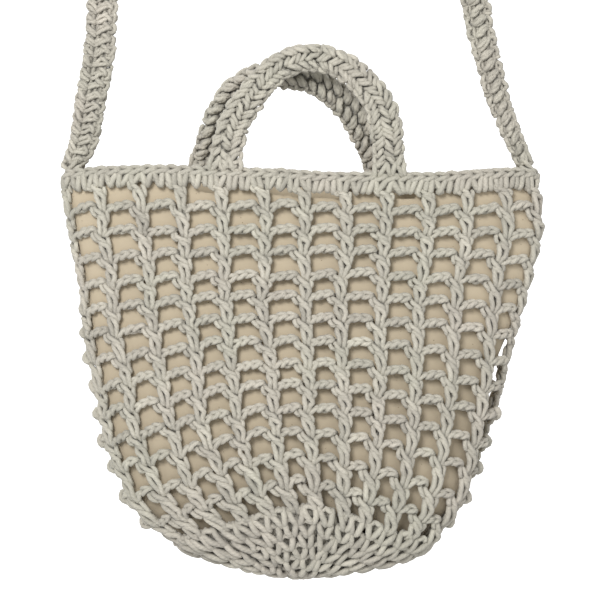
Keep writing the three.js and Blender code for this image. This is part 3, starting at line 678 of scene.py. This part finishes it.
def add_base(strands, net):
    """The closed base: rows of stitches side by side, as many as fit round the net on each row."""
    for row, level in enumerate(np.arange(BASE_START, LAST_ROUND - BASE_STEP / 2, BASE_STEP)):
        length = net.pitch_at(level + BASE_STEP / 2).sum()
        count = max(int(length / (BASE_PITCH * strands.cord)), BASE_FEWEST)
        along, down = (strands.draw.normal(0, wander, count) for wander in BASE_WANDER)
        rib = (np.arange(count) + row % 2 / 2 + along) * RIB_COUNT / count
        add_stitches(strands, net, (level + down, rib), BASE_STRANDS, BASE_GIRTHS, tall=BASE_STEP)


def rim_line(net, rib):
    """The rim's middle line, half way down it, and its outward direction."""
    point, normal = net.at(np.zeros(rib.shape), rib)
    point[..., 2] = -RIM_HEIGHT / 2 + rim_lift(point[..., 0])
    normal[..., 2] = 0
    return point, unit(normal)


def add_rim_chain(strands, net, stitches):
    """The chain lying along the rim's top edge."""
    cord = strands.cord
    point, normal = rim_line(net, np.linspace(RIB_COUNT, 0, stitches * 6 + 1))
    line = point + UP * (RIM_HEIGHT / 2 - 1.05 * cord) + normal * 0.35 * cord
    lines = chain_lines(strands, line[None], normal[None], stitches, 0.55, spread=1.35)
    strands.add(lines, GIRTHS["rim chain"])


def add_rim_bars(strands, net, stitches):
    """Two bars to each stitch, closed loops that go down the rim's outer face, under it and up its inner
    face: the cosine and the sine of the turn, each drawn out to a rounded square by a power."""
    cord, draw, bars = strands.cord, strands.draw, 2 * stitches
    offsets = np.repeat(np.arange(stitches), 2) + np.tile(BAR_PLACES, stitches) + draw.normal(0, 0.05, bars)
    turn = np.linspace(0, 2 * np.pi, 11)[:-1]
    half_high = (RIM_HEIGHT - 1.5 * cord) / 2 + draw.normal(0, 0.5, (bars, 1))
    half_thick = RIM_THICKNESS / 2 - cord / 2 + draw.uniform(0.1, 0.9, (bars, 1))
    slant = draw.normal(0, BAR_WANDER, bars) + np.tile(BAR_SLANTS, stitches)
    out, high = (np.sign(wave) * np.abs(wave) ** BAR_POWER for wave in (np.cos(turn), np.sin(turn)))
    places = (offsets[:, None] + slant[:, None] * np.sin(turn)) * RIB_COUNT / stitches
    point, normal = rim_line(net, places)
    point = point + UP * (half_high * high - 0.6 * cord)[..., None] + normal * (half_thick * out)[..., None]
    strands.add(point, GIRTHS["rim bar"], closed=True)


def add_rim_cores(strands, net):
    """Two strands that run round inside the rim."""
    point, _ = rim_line(net, np.linspace(0, RIB_COUNT, 97)[:-1])
    cores = np.stack([point + UP * rise * strands.cord for rise in (-0.75, 0.55)])
    strands.add(cores, GIRTHS["rim core"], closed=True)


def add_rim_ends(strands):
    """The strands that carry the strap's feet down round both ends of the rim, on its front and its back."""
    ends = []
    for chart in END_STRANDS:
        away, out, high = smooth_read(np.array(chart), np.linspace(0, len(chart) - 1, 5)).T
        for way, rib in ((-1.0, 0.0), (1.0, RIB_COUNT / 2)):
            end_x = net_ring(0.0, np.array([rib]))[0, 0]
            for face in (-1.0, 1.0):
                points = np.stack([end_x + way * away, face * out, high], axis=1)
                ends.append(points + strands.wobble("rim end", points.shape))
    strands.add(smooth_lines(np.array(ends)), GIRTHS["rim end"])


class Band:
    """A worked band along a line: stations at equal lengths with the directions of its width and of its
    front, its half width and its half thickness."""

    def __init__(self, points, width_way, front_way, half_width, half_thickness, row):
        self.points, self.width_way, self.front_way = points, width_way, front_way
        self.half_width, self.half_thickness = half_width, np.full(len(points), half_thickness)
        self.rows = round(len(points) * BAND_STATION / row)

    def lines(self, chart, strands, rows, face=1.0):
        """One strand of each of the rows: the chart's points laid on the band, on its front or, with face -1,
        on its back."""
        points = np.array(chart)
        wobble = strands.wobble("band", (3, len(rows), len(points)))
        slant = strands.draw.normal(0, BAND_SLANT, (len(rows), 1)) * points[:, 1]
        place = (rows[:, None] + points[:, 0] + slant) / self.rows * (len(self.points) - 1) + wobble[2]
        ways = (self.points, self.width_way, self.front_way)
        middle, wide, front = (line_read(grid, place) for grid in ways)
        half_width = line_read(self.half_width, place) - strands.cord / 2
        half_thickness = line_read(self.half_thickness, place) - strands.cord / 2
        across = half_width * points[:, 1] + wobble[0]
        out = (half_thickness * points[:, 2] + wobble[1]) * face
        return smooth_lines(middle + wide * across[..., None] + front * out[..., None])

    def cores(self, cord):
        """The strands that run along inside the band."""
        place = np.linspace(1, len(self.points) - 2, self.rows * 2)
        half_width = line_read(self.half_width, place) - cord / 2
        middle, wide = line_read(self.points, place), line_read(self.width_way, place)
        return np.stack([middle + wide * (half_width * across)[:, None] for across in CORES_ACROSS])


def add_band(strands, band, front, back, girth, sides=6, turned=False):
    """All the strands of a band: its front, its back, the loops round its two edges and its cores. A turned
    band shows its other face to the front over the second half of its length."""
    rows = np.arange(band.rows)
    half = rows < band.rows / 2 if turned else rows >= 0
    for face, charts, others in ((1.0, front, back), (-1.0, back, front)):
        for some, shown in ((rows[half], charts), (rows[~half], others)):
            for chart in shown if len(some) else ():
                strands.add(band.lines(chart, strands, some, face), girth, sides=sides)
    for chart in BAND_WRAPS:
        strands.add(band.lines(chart, strands, rows), GIRTHS["wrap"], sides=sides)
    strands.add(band.cores(strands.cord), GIRTHS["band core"], sides=sides)


def add_feet(strands, band):
    """Strands that fan out from each foot of a band over the rim."""
    points = np.array(FOOT_STRAND)
    turn = np.linspace(-1, 1, len(points))[:, None]
    lines = []
    for end in (0, -1):
        for reach, tilt in FOOT_FANS:
            for face in (-1.0, 1.0):
                wobble = strands.wobble("foot", (3, len(points)))
                half_thickness = band.half_thickness[end] - strands.cord / 2
                across = band.half_width[end] * points[:, :1] * (reach + tilt * turn) + wobble[0][:, None]
                out = (points[:, 2:] * half_thickness + wobble[1][:, None]) * face
                high = points[:, 1:2] + wobble[2][:, None]
                line = band.points[end] + band.width_way[end] * across + band.front_way[end] * out + UP * high
                lines.append(line)
    strands.add(smooth_lines(np.array(lines)), GIRTHS["foot"])


def handle_band(span, rise, middle, arch, side):
    """A handle's band: an arch on two feet on one side of the rim, leaning in towards the other. side is -1
    for the front and 1 for the back."""
    across, up = arch.T
    foot = np.sign(across) * span / 2 + middle
    rim_y = MOUTH_DEPTH / 2 * np.sqrt(1 - (foot / (MOUTH_WIDTH / 2)) ** 2)
    marks = foot[:, None] + HANDLE_WIDTH * np.linspace(-0.5, 0.5, 5)
    seat = rim_lift(marks).max(axis=1) + GAP
    x, y, z = middle + span * across, side * (rim_y - HANDLE_LEAN * up), seat * (1 - up) + rise * up
    line = even_line(np.stack([x, y, z], axis=1))
    tangent = unit(np.gradient(line, axis=0))
    back = unit(BACKWARD - tangent * tangent[:, 1:2])
    share = np.linspace(0, 1, len(line))
    half_width = (HANDLE_WIDTH + (HANDLE_TOP_WIDTH - HANDLE_WIDTH) * np.sin(np.pi * share) ** 2) / 2
    return Band(line, unit(np.cross(back, tangent)), -back, half_width, HANDLE_THICKNESS / 2, HANDLE_ROW)


def strap_band():
    """The strap's band: up the left leg, round the loop's arc and down the right leg. It faces the front on
    its legs and turns a quarter to lie flat over the top of the loop. How far it has opened is carried along
    as a fourth coordinate, up to 10."""
    foot_x = MOUTH_WIDTH / 2 + (RIM_THICKNESS - STRAP_FOOT_WIDTH) / 2 - STRAP_INSET
    sit = float(rim_lift(-foot_x)) + GAP
    rise, left, right, left_opened, right_opened = STRAP_LEGS.T
    height = sit + (STRAP_DROP - sit) * rise
    angle = np.radians(np.arange(160, 19, -20))
    x = np.concatenate([-foot_x * left, LOOP_SHIFT + LOOP_RADIUS * np.cos(angle), (foot_x * right)[::-1]])
    top = STRAP_DROP + STRAP_THICKNESS / 2
    z = np.concatenate([height, top - LOOP_RADIUS * (1 - np.sin(angle)), height[::-1]])
    opened = np.concatenate([left_opened, np.ones(len(angle)), right_opened[::-1]])
    line = even_line(np.stack([x, np.zeros(len(x)), z, opened * 10], axis=1))
    line, opened = line[:, :3], np.clip(line[:, 3] / 10, 0, 1)
    tangent = unit(np.gradient(line, axis=0))
    in_plane = unit(np.cross(tangent, BACKWARD))
    turned = smooth_step((line[:, 2] / STRAP_DROP - TWIST_START) / (TWIST_END - TWIST_START))
    roll = (turned * np.pi / 2)[:, None]
    width_way = -in_plane * np.cos(roll) + BACKWARD * np.sin(roll)
    thick_way = BACKWARD * np.cos(roll) + in_plane * np.sin(roll)
    half_width = (STRAP_FOOT_WIDTH + (STRAP_WIDTH - STRAP_FOOT_WIDTH) * opened) / 2
    return Band(line, width_way, -thick_way, half_width, STRAP_THICKNESS / 2, STRAP_ROW)


# The liner

def inset_within(level, length):
    """How far a ring is drawn in, in width and in depth, to lie a length inside the net's wall."""
    step = 0.25
    high, low = half_sizes(level - step), half_sizes(level + step)
    above, below = round_at(level - step), round_at(level + step)
    down, hang = (below[name] - above[name] for name in ("down", "hang"))
    falls = [BODY_HEIGHT * (down + hang), BODY_HEIGHT * down]
    slopes = [math.hypot(low[i] - high[i], falls[i]) / falls[i] for i in (0, 1)]
    return length * slopes[0] * LINER_SLOPE, length * slopes[1]


def liner_surface(rows, across):
    """The liner's points, (rows, across, 3): rings inside the net from the hem to the closed bottom. The hem
    falls to below the rim by a smooth step at each end of its gaps. Between the ribs and the rounds the cloth
    swells out by the product of two squared sines, and it has shallow upright waves."""
    offset = NET_THICKNESS / 2 + LINER_SLACK / 2
    ribs = RIB_COUNT * np.arange(across) / across
    rings = []
    for behind, below in HEM_RINGS:
        ring = net_ring(0.0, ribs, inset=inset_within(0.3, offset))
        inside = (half - np.abs(ring[:, 0] - middle) for middle, half in HEM_GAPS)
        sag = sum(smooth_step(length / HEM_FALL + 0.5) for length in inside) * (ring[:, 1] < 0)
        ring[:, 2] += behind * (1 - sag) + below * sag
        rings.append(ring)
    for place in np.linspace(0, len(LINER_RINGS) - 1, rows - len(rings)):
        level, narrow, close = smooth_read(LINER_RINGS, np.array(place)) * (1, LINER_NARROW, 1)
        close = math.sqrt(min(max(close, 0.0), 1.0))
        ring = net_ring(level, ribs, narrow=narrow, close=close, inset=inset_within(level, offset))
        swell = math.sin(math.pi * level) ** 2 * np.sin(np.pi * ribs) ** 2
        waves = np.sin(ribs * 2.1 + level * 0.35) + 0.7 * np.sin(ribs * 3.7 - level * 0.5 + 1.3)
        outward = unit((ring - ring.mean(axis=0)) * (1, 3, 0))
        out = (LINER_SWELL * swell - LINER_BACK + LINER_WAVE * waves) * min(1.0, close * 1.5)
        rings.append(ring + outward * out[:, None])
    return np.stack(rings)


# Materials

class Look:
    """A node material being built: its nodes are made by kind, with values or links on their inputs."""

    def __init__(self, name):
        self.material = bpy.data.materials.new(name)
        self.material.use_nodes = True
        self.nodes, self.links = self.material.node_tree.nodes, self.material.node_tree.links
        self.shader = self.nodes["Principled BSDF"]

    def node(self, kind, inputs=(), **settings):
        made = self.nodes.new(kind)
        for name, value in settings.items():
            setattr(made, name, value)
        for name, value in dict(inputs).items():
            self.set(made, name, value)
        return made

    def set(self, node, name, value):
        if isinstance(value, bpy.types.NodeSocket):
            self.links.new(value, node.inputs[name])
        else:
            node.inputs[name].default_value = value

    def math(self, operation, a, b=0.0, c=0.0):
        return self.node("ShaderNodeMath", {0: a, 1: b, 2: c}, operation=operation).outputs[0]

    def place(self):
        return self.node("ShaderNodeTexCoord").outputs["Object"]

    def noise(self, scale, detail=2.0):
        inputs = {"Vector": self.place(), "Scale": scale, "Detail": detail}
        return self.node("ShaderNodeTexNoise", inputs).outputs["Fac"]

    def shade(self, tint, share):
        """A tint made darker or lighter."""
        return tuple(min(c * share, 1.0) for c in tint)

    def split_map(self, name):
        """The two axes of a mesh's map."""
        place = self.node("ShaderNodeUVMap", uv_map=name).outputs["UV"]
        return self.node("ShaderNodeSeparateXYZ", {"Vector": place}).outputs

    def bump(self, strength, distance, height):
        inputs = {"Strength": strength, "Distance": distance, "Height": height}
        self.set(self.shader, "Normal", self.node("ShaderNodeBump", inputs).outputs["Normal"])

    def blend(self, share, a, b):
        made = self.node("ShaderNodeMix", data_type="RGBA")
        for name, value in (("Factor", share), ("A", a), ("B", b)):
            socket = next(s for s in made.inputs if s.name == name and s.enabled)
            if isinstance(value, bpy.types.NodeSocket):
                self.links.new(value, socket)
            else:
                socket.default_value = value if name == "Factor" else (*value, 1)
        return next(s for s in made.outputs if s.enabled)


def cord_look(tint):
    """Undyed cotton cord: plies that wind round each strand, fine fibres, small differences of tone, and a
    painted shade where the strands crowd."""
    look = Look("cotton_cord_look")
    for name, value in (("Roughness", 0.85), ("Sheen Weight", 0.2), ("Sheen Roughness", 0.5)):
        look.set(look.shader, name, value)
    tone = look.node("ShaderNodeAttribute", attribute_name="tone").outputs["Fac"]
    share = look.math("MULTIPLY_ADD", tone, 0.14, 0.05)
    share = look.math("MULTIPLY_ADD", look.noise(90.0, 4.0), 0.9, share)
    cool, warm = (tuple(c * k for c, k in zip(tint, ks)) for ks in CORD_HUES)
    hue = look.math("MULTIPLY_ADD", look.noise(22.0), 3.0, -1.0)
    dark, light = (look.blend(hue, look.shade(cool, k), look.shade(warm, k)) for k in CORD_SHADES)
    crevice_shade = look.node("ShaderNodeAttribute", attribute_name="crevice_shade").outputs["Fac"]
    colour = look.blend(share, dark, light)
    # Painted shade: where strands crowd, the colour is blended towards a dark copy of the tint.
    colour = look.blend(look.math("MULTIPLY", crevice_shade, 0.7), colour, look.shade(tint, CREVICE_SHADE_SHARE))
    look.set(look.shader, "Base Color", colour)
    axes = look.split_map("cord")
    around = look.math("MULTIPLY", axes["Y"], 2 * math.pi * PLIES)
    winding = look.math("MULTIPLY_ADD", axes["X"], 2 * math.pi / PLY_LENGTH, around)
    plies = look.math("ABSOLUTE", look.math("SINE", look.math("MULTIPLY", winding, 0.5)))
    look.bump(0.6, 0.0004, look.math("MULTIPLY_ADD", look.noise(1400.0), 0.35, plies))
    return look.material


def calico_look(tint):
    """Unbleached calico: a fine plain weave, with a painted shade that darkens it towards the bottom, and a
    scatter of small dark specks."""
    look = Look("calico_look")
    for name, value in (("Roughness", 0.95), ("Sheen Weight", 0.15)):
        look.set(look.shader, name, value)
    cloudy = look.noise(25.0, 4.0)
    dark, light = (look.shade(tint, k) for k in CALICO_SHADES)
    axes = look.split_map("cloth")
    # Painted shade: the cloth's colour darkens towards the bottom of its map, as where it gets less light.
    painted_height_shade = look.math("MULTIPLY_ADD", axes["Y"], -3.2, 0.8)
    colour = look.blend(look.math("MULTIPLY_ADD", cloudy, 0.5, painted_height_shade), dark, light)
    speck = look.node("ShaderNodeTexVoronoi", {"Vector": look.place(), "Scale": 190.0}).outputs["Distance"]
    chosen = look.math("GREATER_THAN", look.noise(230.0, 1.0), 0.47)
    near = look.math("LESS_THAN", speck, 0.085)
    specks = look.math("MULTIPLY", look.math("MULTIPLY", chosen, near), 0.55)
    look.set(look.shader, "Base Color", look.blend(specks, colour, SPECK_TINT))
    turns = [look.math("MULTIPLY", axes[axis], 2 * math.pi / THREAD_PITCH) for axis in "XY"]
    weave = look.math("MULTIPLY", *(look.math("SINE", turn) for turn in turns))
    look.bump(0.35, 0.0003, look.math("MULTIPLY_ADD", weave, 0.3, look.noise(500.0, 3.0)))
    return look.material


def cord_material(context):
    """The cord's material, made once and shared by all the cord pieces."""
    return bpy.data.materials.get("cotton_cord_look") or cord_look(tuple(context.scene.tote.cord_tint))


# Settings and operators

class ToteSettings(bpy.types.PropertyGroup):
    """The sizes and colours that a user would change."""

    cord: bpy.props.FloatProperty(
        name="Cord", description="Diameter of the cord", default=0.0031, min=0.002, max=0.004,
        unit="LENGTH", subtype="DISTANCE")
    unevenness: bpy.props.FloatProperty(
        name="Unevenness", description="How far the stitches wander from their places", default=0.85,
        min=0, max=2, subtype="FACTOR")
    cord_tint: bpy.props.FloatVectorProperty(
        name="Cord tint", description="Colour of the cord", default=(0.50, 0.472, 0.402),
        min=0, max=1, size=3, subtype="COLOR")
    liner_tint: bpy.props.FloatVectorProperty(
        name="Liner tint", description="Colour of the calico", default=(0.47, 0.398, 0.288),
        min=0, max=1, size=3, subtype="COLOR")
    floor_level: bpy.props.FloatProperty(
        name="Floor level", description="Height of the studio floor", default=-1.7,
        unit="LENGTH", subtype="DISTANCE")


class TOTE_OT_net(bpy.types.Operator):
    """Build the crocheted net: its posts, the chains between them and its closed base"""

    bl_idname = "tote.net"
    bl_label = "Net body"

    def execute(self, context):
        settings = context.scene.tote
        net = NetSurface(settings.unevenness)
        for name, first, last in NET_PIECES:
            strands = Strands(settings.cord * 1000, seed=first + 3)
            add_posts(strands, net, first, min(last, NET_ROUNDS - 1))
            add_posts(strands, net, max(first, NET_ROUNDS - 1), min(last, NET_ROUNDS + 1), wide=1.2)
            add_chains(strands, net, max(first, 1), min(last, len(NET_LINKS)))
            for rib, highest in LOOPED_RIBS:
                add_end_loops(strands, net, np.arange(max(first, highest), min(last, NET_ROUNDS + 1)), rib)
            if last == LAST_ROUND:
                add_base(strands, net)
            strands.piece(name, "net_body", cord_material(context))
        return {"FINISHED"}


class TOTE_OT_rim(bpy.types.Operator):
    """Build the rim: the chain along its edge and the bars round its band"""

    bl_idname = "tote.rim"
    bl_label = "Rim band"

    def execute(self, context):
        strands = Strands(context.scene.tote.cord * 1000, seed=31)
        net = NetSurface(0.0)
        stitches = round(net.pitch_at(0).sum() / RIM_STITCH)
        add_rim_chain(strands, net, stitches)
        add_rim_bars(strands, net, stitches)
        add_rim_cores(strands, net)
        add_rim_ends(strands)
        strands.piece("rim_band_work", "rim_band", cord_material(context))
        return {"FINISHED"}


class TOTE_OT_handles(bpy.types.Operator):
    """Build the two top handles"""

    bl_idname = "tote.handles"
    bl_label = "Top handles"

    def execute(self, context):
        front = handle_band(FRONT_SPAN, FRONT_RISE, FRONT_MIDDLE, FRONT_ARCH, -1)
        back = handle_band(BACK_SPAN, BACK_RISE, BACK_MIDDLE, BACK_ARCH, 1)
        for node, band, faces, seed in (("front_handle", front, (RIBBED_FACE, PUFF_COLUMNS), 41),
                                        ("back_handle", back, (PUFF_COLUMNS, RIBBED_FACE), 42)):
            strands = Strands(context.scene.tote.cord * 1000, seed)
            add_band(strands, band, *faces, GIRTHS["handle"])
            add_feet(strands, band)
            strands.piece(node + "_work", node, cord_material(context))
        return {"FINISHED"}


class TOTE_OT_strap(bpy.types.Operator):
    """Build the long shoulder strap"""

    bl_idname = "tote.strap"
    bl_label = "Shoulder strap"

    def execute(self, context):
        strands = Strands(context.scene.tote.cord * 1000 * STRAP_CORD, seed=51)
        add_band(strands, strap_band(), BRAIDED_FACE, PUFFED_FACE, GIRTHS["strap"], sides=5, turned=True)
        strands.piece("shoulder_strap_work", "shoulder_strap", cord_material(context))
        return {"FINISHED"}


class TOTE_OT_liner(bpy.types.Operator):
    """Build the calico liner pouch"""

    bl_idname = "tote.liner"
    bl_label = "Liner pouch"

    def execute(self, context):
        rows, across = LINER_ROWS, LINER_ACROSS
        points = liner_surface(rows, across)
        index = np.arange(rows * across).reshape(rows, across)
        after = np.roll(index, -1, axis=1)
        faces = np.stack([index[:-1], index[1:], after[1:], after[:-1]], axis=-1).reshape(-1, 4)
        mesh = bpy.data.meshes.new("liner_cloth")
        mesh.from_pydata(to_frame(points.reshape(-1, 3)).tolist(), [], faces.tolist())
        mesh.polygons.foreach_set("use_smooth", np.ones(len(faces), bool))
        du, dv = CLOTH_MAP[0] / across, CLOTH_MAP[1] / rows
        column, row = np.meshgrid(np.arange(across), np.arange(rows - 1))
        u, v = column * du, row * dv
        corners = np.stack([u, v, u, v + dv, u + du, v + dv, u + du, v], axis=-1)
        mesh.uv_layers.new(name="cloth").data.foreach_set("uv", corners.astype(np.float32).ravel())
        material = calico_look(tuple(context.scene.tote.liner_tint))
        piece = finished(mesh, "liner_cloth", "liner_pouch", material)
        return {"FINISHED"}


class TOTE_OT_stage(bpy.types.Operator):
    """Set up the studio: a white surround and floor, soft lights and the camera"""

    bl_idname = "tote.stage"
    bl_label = "Stage"

    def execute(self, context):
        scene = context.scene
        scene.view_settings.view_transform = "Standard"
        scene.world = bpy.data.worlds.new("studio")
        scene.world.use_nodes = True
        background = scene.world.node_tree.nodes["Background"]
        background.inputs["Color"].default_value = (1, 1, 1, 1)
        background.inputs["Strength"].default_value = WORLD_STRENGTH
        level, reach, back = scene.tote.floor_level, STUDIO_REACH, BACKDROP_BACK
        self.add_sheet(scene, "studio_floor", (-reach, level), (reach, level), FLOOR_GLOW)
        self.add_sheet(scene, "studio_backdrop", (back, level), (back, reach), BACKDROP_GLOW)
        for light in LIGHTS:
            self.add_light(scene, *light)
        self.add_camera(scene)
        return {"FINISHED"}

    def add_sheet(self, scene, name, near, far, glow):
        """A flat white sheet of the studio with a glow of its own, which isn't part of the bag. Its near and
        far edges are given by their distance behind the bag and their height."""
        sides = ((-STUDIO_REACH, near), (STUDIO_REACH, near), (STUDIO_REACH, far), (-STUDIO_REACH, far))
        corners = [(x, *edge) for x, edge in sides]
        mesh = bpy.data.meshes.new(name)
        mesh.from_pydata(corners, [], [(0, 1, 2, 3)])
        sheet = bpy.data.objects.new(name, mesh)
        scene.collection.objects.link(sheet)
        white = Look(name + "_white")
        for setting, value in (("Base Color", (0.6, 0.6, 0.6, 1)), ("Emission Color", (1, 1, 1, 1)),
                               ("Emission Strength", glow)):
            white.set(white.shader, setting, value)
        mesh.materials.append(white.material)

    def add_light(self, scene, name, place, size, watts):
        """A square soft light at a place, facing the bag."""
        light = bpy.data.lights.new(name, "AREA")
        light.shape, light.size, light.energy = "SQUARE", size, watts
        lamp = bpy.data.objects.new(name, light)
        scene.collection.objects.link(lamp)
        lamp.location = place
        lamp.rotation_mode = "QUATERNION"
        lamp.rotation_quaternion = (Vector(LIGHT_AIM) - Vector(place)).to_track_quat("-Z", "Y")

    def add_camera(self, scene):
        """A long lens in front of the bag, whose picture is PICTURE_SIZE pixels of MM_PER_PIXEL at its
        front."""
        width = PICTURE_SIZE * MM_PER_PIXEL / 1000
        x = (PICTURE_SIZE / 2 - MIDDLE_PIXEL) * MM_PER_PIXEL
        z = (RIM_PIXEL - PICTURE_SIZE / 2) * MM_PER_PIXEL
        middle = to_frame(np.array([x, -BODY_DEPTH / 2, z]))
        elevation = math.radians(VIEW_ELEVATION)
        data = bpy.data.cameras.new("camera")
        data.sensor_width = SENSOR_WIDTH
        data.lens = data.sensor_width * VIEW_DISTANCE / width
        data.clip_start, data.clip_end = 0.05, 50
        camera = bpy.data.objects.new("camera", data)
        scene.collection.objects.link(camera)
        camera.location = middle + VIEW_DISTANCE * np.array([0, -math.cos(elevation), math.sin(elevation)])
        camera.rotation_euler = (math.pi / 2 - elevation, 0, 0)
        scene.camera = camera


OPERATORS = (TOTE_OT_net, TOTE_OT_rim, TOTE_OT_handles, TOTE_OT_strap, TOTE_OT_liner, TOTE_OT_stage)


class TOTE_PT_panel(bpy.types.Panel):
    """The tote's settings and operators"""

    bl_idname = "TOTE_PT_panel"
    bl_label = "Crocheted Cord Tote"
    bl_space_type = "VIEW_3D"
    bl_region_type = "UI"
    bl_category = "Tote"

    def draw(self, context):
        for name in ToteSettings.__annotations__:
            self.layout.prop(context.scene.tote, name)
        for operator in OPERATORS:
            self.layout.operator(operator.bl_idname)


def register():
    for item in (ToteSettings, *OPERATORS, TOTE_PT_panel):
        bpy.utils.register_class(item)
    bpy.types.Scene.tote = bpy.props.PointerProperty(type=ToteSettings)


def unregister():
    del bpy.types.Scene.tote
    for item in (TOTE_PT_panel, *reversed(OPERATORS), ToteSettings):
        bpy.utils.unregister_class(item)


def main():
    register()
    bpy.ops.tote.net()
    bpy.ops.tote.rim()
    bpy.ops.tote.handles()
    bpy.ops.tote.strap()
    bpy.ops.tote.liner()
    bpy.ops.tote.stage()


if __name__ == "__main__":
    main()
